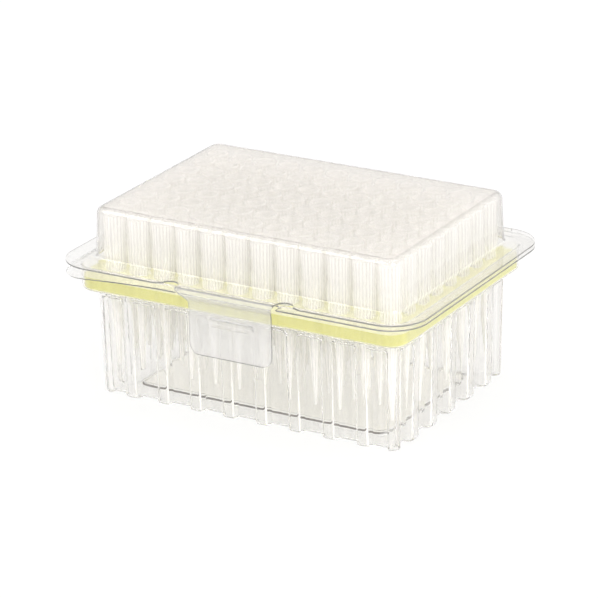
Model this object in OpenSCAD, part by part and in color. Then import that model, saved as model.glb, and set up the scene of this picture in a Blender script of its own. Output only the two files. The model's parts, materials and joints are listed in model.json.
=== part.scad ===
// Hinged clear box of pipette tips: a thermoformed tray and lid, a coloured deck
// and twelve columns of eight tips. Millimetres, +Z up. The origin is the centre
// of the tip grid, on the surface that the tray stands on.

/* [Tip grid] */
// Distance between the centres of neighbouring tips
tip_pitch = 9; // [8.6:0.1:11]
// Tips along the long side, one node for each column
tip_columns = 12; // [8:1:14]
// Tips along the short side
tip_rows = 8; // [6:1:10]

/* [Tip] */
// Length of one tip from mouth to point
tip_length = 52; // [40:1:60]
// Height of the tip's mouth above the deck
tip_stand = 19.8; // [14:0.2:24]
// Outer diameter of the hub at its mouth
hub_mouth_d = 7.5; // [6.4:0.1:7.8]
// Outer diameter of the hub where it sits on the deck
hub_foot_d = 6.3; // [6:0.1:6.6]
// Outer diameter of the body just under the deck
body_d = 5.2; // [4.4:0.1:5.4]
// Outer diameter half way down the body
body_mid_d = 3.1; // [2.4:0.1:3.6]
// Outer diameter of the point
point_d = 1; // [0.8:0.05:1.3]
// Diameter of the hole in the point
orifice_d = 0.5; // [0.3:0.05:0.6]
// Wall of the tip
tip_wall = 0.45; // [0.3:0.05:0.55]
// Length of the straight socket inside the mouth, which a pipette's cone enters
socket_h = 3; // [1:0.2:6]
// Height of the thickened rim round the mouth
rim_h = 0.9; // [0.5:0.1:1.6]
// How far the rim stands out from the hub
rim_proud = 0.15; // [0.05:0.05:0.25]

/* [Deck] */
// Thickness of the deck's sheet
deck_sheet = 0.8; // [0.5:0.1:1.2]
// Height of the deck's skirt, from the ledge to the top of the deck
deck_h = 3.8; // [2.4:0.1:5.4]
// Corner radius of the deck
deck_corner_r = 5.7; // [3:0.1:7]

/* [Clear sheet] */
// Thickness of the tray's and lid's sheet
sheet = 0.5; // [0.35:0.05:0.7]
// Radius of the rolled folds that hinge the lid and the tab
fold_r = 0.4; // [0.3:0.05:0.6]

/* [Tray] */
// Room between the points of the tips and the tray's floor
point_room = 6.7; // [4:0.1:12]
// Lean of the walls, as the growth of each half width up to the ledge
wall_lean = 0.75; // [0.3:0.05:1.2]
// Corner radius of the walls at the ledge
wall_corner_r = 5.5; // [4.5:0.1:7]
// Distance from the ledge down to the end of the flutes
flute_drop = 3.4; // [2:0.1:8]
// Depth of the flutes at the ledge end
flute_depth = 1.9; // [1:0.1:2]
// Extra depth of the flutes at the feet
flute_gain = 0.3; // [0:0.1:0.8]
// Width of a rib's outer face
rib_w = 4; // [3:0.1:5]
// Slant of a rib's sides, as the growth of its half width across its depth
rib_flare = 0.7; // [0.2:0.1:1]
// Ribs along each long side
ribs_long = 8; // [4:1:9]
// Ribs along each short side
ribs_short = 5; // [3:1:6]
// Width of the foot at each corner, from the outer face
corner_foot_w = 3.4; // [2.8:0.1:5]
// Width of the foot band at the short ends, outside the raised floor
foot_band_x = 9.2; // [6:0.1:14]
// Width of the foot band at the long sides, outside the raised floor
foot_band_y = 9.8; // [6:0.1:14]
// Height of the raised floor panel
floor_raise = 1.3; // [0.8:0.1:2.4]
// Corner radius of the raised floor panel
floor_corner_r = 4; // [2:0.1:6]

/* [Band and flanges] */
// Width of the ledge at the short ends
ledge_x = 3.6; // [2.6:0.1:5]
// Width of the ledge at the long sides
ledge_y = 4.6; // [2.6:0.1:5.4]
// Corner radius of the band
band_corner_r = 6.5; // [4:0.1:9]
// Height of the band, from the ledge's underside to the flange's top
band_h = 8; // [6:0.1:11]
// Width of the flange round the lid's walls
flange_w = 9.1; // [8.4:0.1:12]
// Corner radius of both flanges
flange_corner_r = 12; // [8:0.5:16]

/* [Lid] */
// Room between the tips' mouths and the lid's top
lid_room_z = 1.7; // [0.5:0.1:6]
// Lean of the lid's walls, as the growth of each half width down to the flange
dome_lean = 0.75; // [0.3:0.05:1.2]
// Corner radius of the lid's walls at its top
dome_corner_r = 4; // [3.4:0.1:6]
// Radius of the lid's top edges
dome_edge_r = 2.2; // [1.5:0.1:2.6]

/* [Latch] */
// Width of the tab at its fold
tab_fold_w = 35; // [28:0.5:44]
// Width of the tab's panel
tab_w = 29.6; // [22:0.2:34]
// Distance from the tray's flange down to the tab's lower edge
tab_drop = 21; // [18:0.2:27]
// Distance from the tray's flange down to the knee where the tab turns upright
tab_knee_drop = 3.8; // [2.6:0.1:5]
// Radius of the tab's lower corners
tab_corner_r = 3.5; // [1.5:0.1:5]
// Width of each relief notch beside the tab
notch_w = 6; // [4:0.1:8]
// Depth of each relief notch
notch_depth = 3.6; // [3.1:0.1:4.5]
// Width of the snap bead on the tab
snap_w = 16; // [10:0.5:20]
// Height of the snap bead
snap_h = 2.6; // [2:0.1:3.2]

/* [Fits] */
// Room between the end tips and the lid's short walls
lid_room_x = 0.35; // [0.3:0.05:1.5]
// Room between the side tips and the lid's long walls
lid_room_y = 1.3; // [0.3:0.05:2]
// Room between a tip's body and its hole
hole_gap = 0.25; // [0.1:0.05:0.35]
// Room between the deck and the band
deck_gap = 0.3; // [0.15:0.05:0.6]
// Gap between the two flanges
flange_gap = 1; // [0.6:0.05:1.4]
// Room between the band and the middle of the tab's panel
tab_room = 1.8; // [1.2:0.1:2.4]
// Room between parts that move past each other
move_gap = 0.3; // [0.2:0.05:0.5]

/* [Hidden] */
$fn = 64;
over = 1; // how far a cutter runs past what it cuts

// Heights, from the tray's floor up
tip_point_z = floor_raise + sheet + point_room;
tip_mouth_z = tip_point_z + tip_length;
deck_top_z = tip_mouth_z - tip_stand;
ledge_top_z = deck_top_z - deck_h;
ledge_z = ledge_top_z - sheet;                    // underside of the ledge
flute_top_z = ledge_z - flute_drop;
tray_flange_z = ledge_z + band_h;                 // top of the tray's flange
lid_low_z = tray_flange_z + flange_gap;           // underside of the lid's flange
lid_flange_z = lid_low_z + sheet;                 // top of the lid's flange
lid_top_z = tip_mouth_z + lid_room_z + sheet;
tip_mid_z = (deck_top_z + tip_point_z) / 2;
wall_rest = wall_lean * flute_drop / ledge_z;     // what the walls still grow above the flutes

// Half sizes in plan, from the tips outwards: [x, y]
grid_half = [(tip_columns - 1) * tip_pitch / 2, (tip_rows - 1) * tip_pitch / 2];
dome_top = grid_half + [lid_room_x, lid_room_y] + (hub_mouth_d / 2 + sheet) * [1, 1];
dome_foot = dome_top + dome_lean * [1, 1];
wall_top = dome_foot;
wall_foot = wall_top - wall_lean * [1, 1];
wall_mid = wall_top - wall_rest * [1, 1];         // at the end of the flutes
wall_mid_r = wall_corner_r - wall_rest;
core_mid = wall_mid - flute_depth * [1, 1];       // the wall between the ribs
core_mid_r = wall_mid_r - wall_lean;
core_foot = wall_foot - (flute_depth + flute_gain) * [1, 1];
floor_half = wall_foot - [foot_band_x, foot_band_y];
band_half = wall_top + [ledge_x, ledge_y];
deck_half = band_half - (sheet + deck_gap) * [1, 1];
flange_half = dome_foot + flange_w * [1, 1];

// Folds: both axes run along X, as far out as lets the lid's flange turn past the roll
fold_y = flange_half[1] + fold_r + move_gap;
lid_fold_z = tray_flange_z + flange_gap / 2;
fold_half_l = flange_half[0] - flange_corner_r - 3 * fold_r;

// Latch, in section: [y, z] of the middle of its sheet from the fold down
tab_face_y = -(band_half[1] + tab_room);
tab_low_z = tray_flange_z - tab_drop;
tab_knee_z = tray_flange_z - tab_knee_drop;
tab_bends = [
    [-fold_y, lid_low_z + sheet / 2],
    [-fold_y, tray_flange_z - sheet / 2],
    [tab_face_y, tab_knee_z],
    [tab_face_y, tab_low_z]
];
snap_top_z = ledge_z - move_gap;
snap_proud = tab_room - sheet / 2 - move_gap;     // the snap bead ends short of the band's face
notch_x = (tab_fold_w + notch_w) / 2;
recess_half_w = tab_fold_w / 2 + 2 * move_gap;
recess_y = -(band_half[1] + sheet);
recess_r = 2;                                     // inner corners of the recess in the tray's flange

// A rectangle with rounded corners, from its half sizes
module rounded_rect(half, r) {
    square([2 * (half[0] - r), 2 * half[1]], center = true);
    square([2 * half[0], 2 * (half[1] - r)], center = true);
    for (sx = [-1, 1], sy = [-1, 1])
        translate([sx * (half[0] - r), sy * (half[1] - r)]) circle(r);
}

module rounded_plate(half, r, z0, z1) {
    translate([0, 0, z0]) linear_extrude(z1 - z0) rounded_rect(half, r);
}

// Sweeps a profile round a rectangle: x is the distance out of its corner centres
module swept_block(centres, z0, z1) {
    translate([-centres[0], -centres[1], z0])
        cube([2 * centres[0], 2 * centres[1], z1 - z0]);
    for (side = [0:3]) {
        a = centres[side % 2];
        b = centres[(side + 1) % 2];
        rotate([0, 0, 90 * side]) translate([a, b, 0]) {
            rotate([90, 0, 0]) linear_extrude(2 * b) children();
            rotate_extrude(angle = 90) children();
        }
    }
}

// A block with leaning walls, whose corners keep their centres
module leaning_block(half_low, half_high, r_high, z0, z1) {
    r_low = r_high + half_low[0] - half_high[0];
    swept_block(half_high - r_high * [1, 1], z0, z1)
        polygon([[0, z0], [r_low, z0], [r_high, z1], [0, z1]]);
}

// The same with rounded top edges
module domed_block(half_low, half_high, r_high, edge_r, z0, z1) {
    r_low = r_high + half_low[0] - half_high[0];
    swept_block(half_high - r_high * [1, 1], z0, z1) difference() {
        polygon([[0, z0], [r_low, z0], [r_high, z1], [0, z1]]);
        translate([r_high - edge_r, z1 - edge_r]) difference() {
            square(edge_r + over);
            circle(edge_r);
        }
    }
}

// One rib's plan, pointing along +X from the middle of the tray
module rib_plan(reach, w) {
    root = reach - flute_depth;
    polygon([
        [root - over, -w / 2 - rib_flare * (1 + over / flute_depth)],
        [reach + over, -w / 2 + rib_flare * over / flute_depth],
        [reach + over, w / 2 - rib_flare * over / flute_depth],
        [root - over, w / 2 + rib_flare * (1 + over / flute_depth)]
    ]);
}

// All ribs and corner feet in plan; inset narrows them for the inside of the sheet
module ribs_plan(inset) {
    long_step = 2 * wall_foot[0] / (ribs_long + 1);
    short_step = 2 * wall_foot[1] / (ribs_short + 1);
    for (end = [0, 180]) {
        for (i = [1:ribs_long])
            translate([i * long_step - wall_foot[0], 0]) rotate(90 + end)
                rib_plan(wall_top[1], rib_w - 2 * inset);
        for (i = [1:ribs_short])
            translate([0, i * short_step - wall_foot[1]]) rotate(end)
                rib_plan(wall_top[0], rib_w - 2 * inset);
    }
    for (sx = [-1, 1], sy = [-1, 1])
        translate([sx * (wall_foot[0] + inset), sy * (wall_foot[1] + inset)])
            square(2 * corner_foot_w, center = true);
}

// The fluted wall as a filled block, set in by the sheet for its inside
module fluted_block(inset, z0, z1) {
    in2 = inset * [1, 1];
    leaning_block(core_foot - in2, core_mid - in2, core_mid_r - inset, z0, z1);
    intersection() {
        leaning_block(wall_foot - in2, wall_mid - in2, wall_mid_r - inset, z0, z1);
        translate([0, 0, z0]) linear_extrude(z1 - z0) ribs_plan(inset);
    }
}

module tray_outside() {
    fluted_block(0, 0, flute_top_z);
    leaning_block(wall_mid, wall_top, wall_corner_r, flute_top_z, ledge_z);
    rounded_plate(band_half, band_corner_r, ledge_z, tray_flange_z);
    rounded_plate(flange_half, flange_corner_r, tray_flange_z - sheet, tray_flange_z);
}

module tray_inside() {
    in2 = sheet * [1, 1];
    difference() {
        fluted_block(sheet, sheet, flute_top_z + sheet);
        rounded_plate(floor_half + in2, floor_corner_r + sheet, 0, floor_raise + sheet);
    }
    leaning_block(wall_mid - in2, wall_top - in2, wall_corner_r - sheet,
                  flute_top_z + sheet, ledge_top_z);
    rounded_plate(band_half - in2, band_corner_r - sheet, ledge_top_z, tray_flange_z + over);
}

// The gap in the tray's front flange that the tab drops through
module flange_recess() {
    z0 = tray_flange_z - sheet - over;
    translate([0, 0, z0]) linear_extrude(sheet + 2 * over) {
        translate([-recess_half_w, recess_y - flange_w])
            square([2 * recess_half_w, flange_w - recess_r]);
        translate([-recess_half_w + recess_r, recess_y - flange_w])
            square([2 * (recess_half_w - recess_r), flange_w]);
        for (sx = [-1, 1])
            translate([sx * (recess_half_w - recess_r), recess_y - recess_r]) circle(recess_r);
    }
}

module base_tray() {
    color([0.93, 0.94, 0.92, 0.35]) {
        difference() {
            tray_outside();
            tray_inside();
            rounded_plate(floor_half, floor_corner_r, -over, floor_raise);
            flange_recess();
        }
        // Rear fold: the tray's flange turns up into a round roll that the lid turns about
        translate([-fold_half_l, flange_half[1] - sheet, tray_flange_z - sheet])
            cube([2 * fold_half_l, fold_r + move_gap + 1.5 * sheet, sheet]);
        translate([-fold_half_l, fold_y - sheet / 2, tray_flange_z - sheet])
            cube([2 * fold_half_l, sheet, lid_fold_z - tray_flange_z + sheet]);
        translate([-fold_half_l, fold_y, lid_fold_z])
            rotate([0, 90, 0]) cylinder(r = fold_r, h = 2 * fold_half_l);
    }
}

module tip_deck() {
    hole_r = body_d / 2 + hole_gap;
    color([0.89, 0.90, 0.42]) difference() {
        rounded_plate(deck_half, deck_corner_r, ledge_top_z, deck_top_z);
        rounded_plate(deck_half - deck_sheet * [1, 1], deck_corner_r - deck_sheet,
                      ledge_top_z - over, deck_top_z - deck_sheet);
        for (c = [1:tip_columns], r = [1:tip_rows])
            translate([(c - 1) * tip_pitch - grid_half[0], (r - 1) * tip_pitch - grid_half[1],
                       deck_top_z - deck_sheet - over])
                cylinder(r = hole_r, h = deck_sheet + 2 * over);
    }
}

// Half section of one tip, turned about its axis
module tip() {
    rim_low = hub_mouth_d / 2 - rim_proud;
    body_under = body_d / 2;
    rotate_extrude() polygon([
        [rim_low - tip_wall, tip_mouth_z - socket_h],
        [rim_low - tip_wall, tip_mouth_z],
        [hub_mouth_d / 2, tip_mouth_z],
        [hub_mouth_d / 2, tip_mouth_z - rim_h],
        [rim_low, tip_mouth_z - rim_h - rim_proud],
        [hub_foot_d / 2, deck_top_z],
        [body_under, deck_top_z],
        [body_mid_d / 2, tip_mid_z],
        [point_d / 2, tip_point_z],
        [orifice_d / 2, tip_point_z],
        [body_mid_d / 2 - tip_wall, tip_mid_z],
        [body_under - tip_wall, deck_top_z + tip_wall]
    ]);
}

module tips_column(c) {
    color([0.96, 0.95, 0.92, 0.7])
        for (r = [1:tip_rows])
            translate([(c - 1) * tip_pitch - grid_half[0], (r - 1) * tip_pitch - grid_half[1], 0])
                tip();
}

module lid() {
    in2 = sheet * [1, 1];
    color([0.93, 0.94, 0.92, 0.35]) difference() {
        union() {
            rounded_plate(flange_half, flange_corner_r, lid_low_z, lid_flange_z);
            domed_block(dome_foot, dome_top, dome_corner_r, dome_edge_r, lid_low_z, lid_top_z);
        }
        translate([0, 0, -sheet])
            domed_block(dome_foot - in2, dome_top - in2, dome_corner_r - sheet,
                        dome_edge_r - sheet, lid_low_z, lid_top_z);
        for (sx = [-1, 1])
            translate([sx * notch_x, notch_depth - notch_w / 2 - flange_half[1], lid_low_z - over])
                cylinder(d = notch_w, h = sheet + 2 * over);
    }
}

// Points of a line of sheet moved sideways by d, mitred at its bends
function unit(v) = v / norm(v);
function side(v) = [-v[1], v[0]];
function moved(line, d) = [
    for (i = [0:len(line) - 1])
        let (a = side(unit(line[max(i, 1)] - line[max(i, 1) - 1])),
             b = side(unit(line[min(i + 1, len(line) - 1)] - line[min(i + 1, len(line) - 1) - 1])))
            line[i] + d * (a + b) / (1 + a * b)
];
function turned_round(points) = [for (i = [len(points) - 1:-1:0]) points[i]];

// The tab seen from the front: it narrows from the fold to the knee, and its lower corners are round
module tab_outline() {
    r = tab_corner_r;
    fold_z = tab_bends[0][1];
    polygon([[-tab_fold_w / 2, fold_z], [tab_fold_w / 2, fold_z],
             [tab_w / 2, tab_knee_z], [-tab_w / 2, tab_knee_z]]);
    translate([-tab_w / 2, tab_low_z + r]) square([tab_w, tab_knee_z - tab_low_z - r]);
    translate([r - tab_w / 2, tab_low_z]) square([tab_w - 2 * r, tab_knee_z - tab_low_z]);
    for (sx = [-1, 1])
        translate([sx * (tab_w / 2 - r), tab_low_z + r]) circle(r);
}

// Section of the snap bead, [out of the panel, up], set in by the sheet for its hollow
module snap_section(inset) {
    slant = snap_proud / 3;
    tip = snap_proud + sheet / 2 - inset;
    polygon([[-2 * inset, inset], [-2 * inset, snap_h - inset],
             [tip, snap_h - inset - slant], [tip, inset + slant]]);
}

module latch_tab() {
    color([0.90, 0.91, 0.90, 0.45]) difference() {
        union() {
            translate([-tab_fold_w / 2, tab_bends[0][0], tab_bends[0][1]])
                rotate([0, 90, 0]) cylinder(r = fold_r, h = tab_fold_w);
            intersection() {
                translate([-tab_fold_w / 2, 0, 0]) rotate([90, 0, 90])
                    linear_extrude(tab_fold_w) polygon(concat(
                        moved(tab_bends, sheet / 2), turned_round(moved(tab_bends, -sheet / 2))));
                translate([0, over - band_half[1], 0]) rotate([90, 0, 0])
                    linear_extrude(flange_w + over) tab_outline();
            }
            translate([-snap_w / 2, tab_face_y, snap_top_z - snap_h])
                rotate([90, 0, 90]) linear_extrude(snap_w) snap_section(0);
        }
        translate([sheet - snap_w / 2, tab_face_y, snap_top_z - snap_h])
            rotate([90, 0, 90]) linear_extrude(snap_w - 2 * sheet) snap_section(sheet);
    }
}

base_tray();
tip_deck();
for (c = [1:tip_columns])
    tips_column(c);
lid();
latch_tab();
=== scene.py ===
"""Looks for a hinged clear box of pipette tips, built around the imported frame.

The tray, the lid and the tab are lofted shells of clear sheet. The tips are one
moulded tip, repeated by Geometry Nodes. The deck is the frame's own solid in a
moulded plastic. Lengths are metres. The origin is the centre of the tip grid, and
the box stands at height 0.
"""

import json
import math

import bmesh
import bpy
from mathutils import Matrix, Vector


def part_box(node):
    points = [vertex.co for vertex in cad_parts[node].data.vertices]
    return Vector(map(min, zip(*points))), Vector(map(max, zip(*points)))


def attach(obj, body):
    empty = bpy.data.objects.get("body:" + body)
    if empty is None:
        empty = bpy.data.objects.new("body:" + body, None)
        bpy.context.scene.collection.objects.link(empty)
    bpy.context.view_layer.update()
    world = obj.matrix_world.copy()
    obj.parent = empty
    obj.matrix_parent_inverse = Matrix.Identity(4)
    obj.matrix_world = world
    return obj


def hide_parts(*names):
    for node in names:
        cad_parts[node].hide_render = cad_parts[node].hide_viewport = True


bl_info = {
    "name": "Clear tip box looks",
    "version": (1, 0, 0),
    "blender": (4, 5, 0),
    "location": "3D View > Sidebar > Tip Box",
    "description": "Shells, tips, deck, materials and stage for a clear box of pipette tips",
    "category": "Object",
}

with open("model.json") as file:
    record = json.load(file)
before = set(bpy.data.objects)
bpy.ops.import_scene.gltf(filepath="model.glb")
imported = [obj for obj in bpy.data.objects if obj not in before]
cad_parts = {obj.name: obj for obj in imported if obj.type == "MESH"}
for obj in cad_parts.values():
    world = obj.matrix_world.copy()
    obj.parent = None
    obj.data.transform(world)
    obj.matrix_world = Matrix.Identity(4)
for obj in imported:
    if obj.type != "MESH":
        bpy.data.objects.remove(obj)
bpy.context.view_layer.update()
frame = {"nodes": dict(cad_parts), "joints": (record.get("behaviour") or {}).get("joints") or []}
MM = 0.001
TINY = 0.00001

TIP_NODES = sorted(n for n in frame["nodes"] if n.startswith("tips_column_"))
TRAY_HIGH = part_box("base_tray")[1]
LID_LOW, LID_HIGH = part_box("lid")
DECK_LOW, DECK_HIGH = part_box("tip_deck")
TAB_LOW, TAB_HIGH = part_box("latch_tab")
TIP_LOW, TIP_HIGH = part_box(TIP_NODES[0])
LAST_TIP_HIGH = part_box(TIP_NODES[-1])[1]
TIP_R = (TIP_HIGH.x - TIP_LOW.x) / 2
TIP_PITCH = 9 * MM
FLANGE_HALF = Vector((LID_HIGH.x, LID_HIGH.y))
DECK_HALF = Vector((DECK_HIGH.x, DECK_HIGH.y))
GRID_HALF = Vector((LAST_TIP_HIGH.x - TIP_R, TIP_HIGH.y - TIP_R))
TRAY_FLANGE_Z = LID_LOW.z - 1.0 * MM  # top of the tray's flange, which lies under the lid's


def length(name, default, description):
    """A length that a user may change; the default is in millimetres."""
    return bpy.props.FloatProperty(name=name, default=default * MM, description=description,
                                   unit="LENGTH", subtype="DISTANCE", min=0.0, precision=5)


def turn_of(name, default, description):
    """An angle that a user may change; the default is in degrees."""
    return bpy.props.FloatProperty(name=name, default=math.radians(default), subtype="ANGLE",
                                   description=description)


def tint(name, default, description):
    """A colour that a user may change."""
    return bpy.props.FloatVectorProperty(name=name, default=default, description=description,
                                         subtype="COLOR", size=3, min=0.0, max=1.0)


def count(name, default, description):
    """A whole number that a user may change."""
    return bpy.props.IntProperty(name=name, default=default, description=description, min=1)


class TIPBOX_PG_sheet(bpy.types.PropertyGroup):
    """Sizes of the clear shells."""
    sheet: length("Sheet", 0.5, "Thickness of the clear sheet")
    flange_r: length("Flange corner", 12, "Corner radius of both flanges")
    flange_w: length("Flange width", 9.1, "Width of the lid's flange")
    wall_lean: length("Wall lean", 0.75, "How far each wall leans out over its height")
    wall_r: length("Wall corner", 5.5, "Corner radius of the tray's wall at the ledge")
    band_r: length("Band corner", 6.5, "Corner radius of the band round the deck")
    deck_gap: length("Deck gap", 0.3, "Room between the deck and the band")
    dome_r: length("Lid corner", 4, "Corner radius of the lid's walls at its top")
    dome_edge_r: length("Lid top edge", 2.2, "Radius of the lid's top edges")
    foot_edge_r: length("Foot edge", 1.3, "Radius where the wall turns into the foot")
    bend_r: length("Bend", 1.0, "Radius of the sheet's bends")
    rib_w: length("Rib width", 4, "Width of a rib's outer face")
    rib_flare: length("Rib flare", 0.7, "Slant of a rib's sides")
    rib_depth: length("Rib depth", 1.9, "Depth of the flutes at their upper end")
    rib_gain: length("Rib gain", 0.3, "Extra depth of the flutes at the feet")
    rib_crown: length("Rib crown", 0.25, "How far a rib's face bulges")
    flute_drop: length("Flute drop", 3.4, "Distance from the ledge to the end of the flutes")
    ribs_long: count("Ribs, long side", 8, "Ribs along each long side")
    ribs_short: count("Ribs, short side", 5, "Ribs along each short side")
    floor_inset_x: length("Floor inset X", 9.2, "Foot band at the short ends")
    floor_inset_y: length("Floor inset Y", 9.8, "Foot band at the long sides")
    floor_r: length("Floor corner", 4, "Corner radius of the raised floor")
    floor_raise: length("Floor raise", 1.3, "Height of the raised floor")
    sag: length("Sag", 0.3, "Sag of the flat panels at their middle")
    droop: length("Flange droop", 2.4, "How far the tray's flange hangs down at its left end")
    notch_w: length("Notch width", 6, "Width of each relief notch beside the tab")
    notch_depth: length("Notch depth", 3.6, "Depth of each relief notch")
    recess_half: length("Recess half width", 18.1, "Half width of the gap in the tray's flange")
    recess_room: length("Recess room", 0.5, "Flange left behind the tab")
    recess_r: length("Recess corner", 2, "Inner corner radius of that gap")
    colour: tint("Sheet colour", (0.995, 0.99, 0.982), "Colour of the clear sheet")
    # Painted shade: the dark grey of the sheet's cut edge
    edge_shade_colour: tint("Cut edge colour", (0.16, 0.165, 0.16), "Colour of the sheet's cut edge")
    # Painted shade: the dark line along the fold round the floor
    fold_shade_colour: tint("Fold colour", (0.05, 0.036, 0.024), "Colour of the fold round the floor")


class TIPBOX_PG_tab(bpy.types.PropertyGroup):
    """Sizes of the latch tab."""
    width: length("Panel width", 29.6, "Width of the tab's upright panel")
    corner_r: length("Corner", 3.5, "Radius of the tab's lower corners")
    knee_drop: length("Knee drop", 3.8, "Distance from the tray's flange to the knee")
    bend_r: length("Bend", 1.2, "Radius of the knee")
    bead_w: length("Bead width", 16, "Width of the snap bead")
    bead_h: length("Bead height", 2.6, "Height of the snap bead")
    bead_room: length("Bead room", 0.3, "Room between the bead and the ledge")


class TIPBOX_PG_tips(bpy.types.PropertyGroup):
    """Sizes of one tip."""
    hub_foot: length("Hub foot", 6.3, "Outer diameter of the hub on the deck")
    body: length("Body", 5.2, "Outer diameter just under the deck")
    body_mid: length("Body middle", 3.1, "Outer diameter half way down")
    point: length("Point", 1.0, "Outer diameter of the point")
    orifice: length("Orifice", 0.5, "Hole in the point")
    wall: length("Wall", 0.45, "Wall of the tip")
    rim_h: length("Rim height", 0.9, "Height of the thick rim round the mouth")
    rim_proud: length("Rim proud", 0.15, "How far the rim stands out")
    socket_h: length("Socket", 3.0, "Depth of the straight socket")
    fins: count("Fins", 20, "Fins round the hub")
    fin_proud: length("Fin proud", 0.28, "How far a fin stands out of the hub")
    fin_share: bpy.props.FloatProperty(name="Fin share", default=0.58, min=0.1, max=0.9,
                                       description="Share of the hub's height that has fins")
    lean: turn_of("Lean", 0.5, "Most that a tip leans in its hole")
    seed: count("Seed", 7, "Seed of the tips' turns")
    colour: tint("Tip colour", (0.95, 0.945, 0.94), "Colour of the tips")
    # Painted shade: the tips' colour at their outlines and in their grooves
    edge_shade_colour: tint("Tip edge colour", (0.925, 0.92, 0.905),
                      "Colour of the tips where they turn away")


class TIPBOX_PG_deck(bpy.types.PropertyGroup):
    """Colour of the deck."""
    colour: tint("Deck colour", (0.66, 0.65, 0.19), "Colour of the moulded deck")


class TIPBOX_PG_stage(bpy.types.PropertyGroup):
    """Camera and light."""
    azimuth: turn_of("Azimuth", 30.35, "Camera's turn round the box")
    elevation: turn_of("Elevation", 21.11, "Camera's height angle")
    roll: turn_of("Roll", -1.12, "Camera's turn about its view")
    distance: length("Distance", 1086.72, "Distance from the camera to its target")
    lens: bpy.props.FloatProperty(name="Lens", default=204.9, unit="CAMERA",
                                  description="Focal length on a 36 mm sensor")
    shade: bpy.props.FloatProperty(name="Studio shade", default=0.55, min=0.0, max=1.0,
                                   description="Grey of the studio overhead and in front")
    ambient: bpy.props.FloatProperty(name="Ambient", default=0.85, min=0.0,
                                     description="Strength of the surrounding light")


# ---------------------------------------------------------------- rounded plans

def smooth(low, high, value):
    """Smooth step from 0 at low to 1 at high."""
    t = min(max((value - low) / (high - low), 0.0), 1.0)
    return t * t * (3 - 2 * t)


def both(value):
    """The same length along X and Y."""
    return Vector((value, value))


def quarter_turn(r, steps):
    """Inset and rise at even steps of a bend that starts level and ends upright."""
    turns = [math.pi / 2 * i / steps for i in range(steps + 1)]
    return [(r * (1 - math.sin(a)), r * (1 - math.cos(a))) for a in turns]


def joint_place(name):
    """Y and Z of a joint's axis, which runs along X."""
    return next(j for j in frame["joints"] if j["name"] == name)["pos_m"][1:]


class Plan:
    """Stations round a rounded rectangle, anticlockwise from the front left.

    A station is a side's number, whether it lies on the corner after that side, and a
    value: a share of the straight length on a side, and degrees on a corner. Every
    ring of a shell has the same stations, so a rib stays upright while the ring grows.
    """

    def __init__(self, long_places, short_places, corner_angles):
        self.stations = []
        for k in range(4):
            for share in (long_places if k % 2 == 0 else short_places):
                self.stations.append((k, False, share))
            for degrees in corner_angles:
                self.stations.append((k, True, degrees))

    def point(self, station, half, r, z, inset):
        k, corner, value = station
        straight = (half[0] - r, half[1] - r)
        if corner:
            centre = (straight[0] * (1, 1, -1, -1)[k], straight[1] * (-1, 1, 1, -1)[k])
            a = math.radians(value + 90 * (k - 1))
            return Vector((centre[0] + (r - inset) * math.cos(a),
                           centre[1] + (r - inset) * math.sin(a), z))
        along = value * straight[k % 2]
        out = half[1 - k % 2] - inset
        x, y = ((along, -out), (out, along), (-along, out), (-out, -along))[k]
        return Vector((x, y, z))

    def ring(self, half, r, z, inset=0.0):
        """Points at every station; the inset is a length or a function of the station."""
        return [self.point(st, half, r, z, inset(st) if callable(inset) else inset)
                for st in self.stations]


def side_places(straight, centres, near, marks=()):
    """Shares of a straight side: close together round each rib and at each mark."""
    places = {-straight, straight, *marks}
    for c in centres:
        for d in near:
            places.update((c - d, c + d))
    kept = []
    for p in sorted(p for p in places if abs(p) <= straight):
        if not kept or p - kept[-1] > TINY / 2:
            kept.append(p)
    return [p / straight for p in kept if abs(p) < straight * 0.9999]


# ---------------------------------------------------------------- meshes

def loft(rings, close_start=False, close_end=False, round_again=False):
    """Quads between rings, ring by ring; an end is closed with a fan to its middle."""
    verts = [v for ring in rings for v in ring]
    rows, n = len(rings), len(rings[0])
    faces = [(i * n + j, i * n + (j + 1) % n,
              (i + 1) % rows * n + (j + 1) % n, (i + 1) % rows * n + j)
             for i in range(rows if round_again else rows - 1) for j in range(n)]
    for wanted, first in ((close_start, 0), (close_end, (rows - 1) * n)):
        if wanted:
            middle = len(verts)
            verts.append(sum(verts[first:first + n], Vector()) / n)
            for j in range(n):
                a, b = first + j, first + (j + 1) % n
                faces.append((middle, b, a) if first == 0 else (middle, a, b))
    return verts, faces


def mesh_object(name, verts, faces):
    mesh = bpy.data.meshes.new(name)
    mesh.from_pydata([tuple(v) for v in verts], [], faces)
    mesh.update()
    obj = bpy.data.objects.new(name, mesh)
    bpy.context.scene.collection.objects.link(obj)
    return obj


def set_sharp(obj, degrees=40):
    """Smooth faces, with edges sharper than the angle kept crisp."""
    bm = bmesh.new()
    bm.from_mesh(obj.data)
    limit = math.radians(degrees)
    for face in bm.faces:
        face.smooth = True
    for edge in bm.edges:
        edge.smooth = len(edge.link_faces) == 2 and edge.calc_face_angle(0) < limit
    bm.to_mesh(obj.data)
    bm.free()


def apply_modifiers(obj):
    """Turns the evaluated object into its own plain mesh."""
    graph = bpy.context.evaluated_depsgraph_get()
    mesh = bpy.data.meshes.new_from_object(obj.evaluated_get(graph))
    obj.modifiers.clear()
    obj.data = mesh
    mesh.name = obj.name


def thicken(obj, thickness):
    """Gives a shell its wall, inwards, with the next material on the cut edge."""
    mod = obj.modifiers.new("wall", "SOLIDIFY")
    mod.thickness = thickness
    mod.offset = -1
    mod.use_quality_normals = True
    mod.thickness_clamp = 0.0
    mod.use_rim = True
    mod.material_offset_rim = 1
    apply_modifiers(obj)


def paint(obj, *materials):
    """Fills the object's material slots in order."""
    for material in materials:
        obj.data.materials.append(material)


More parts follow.
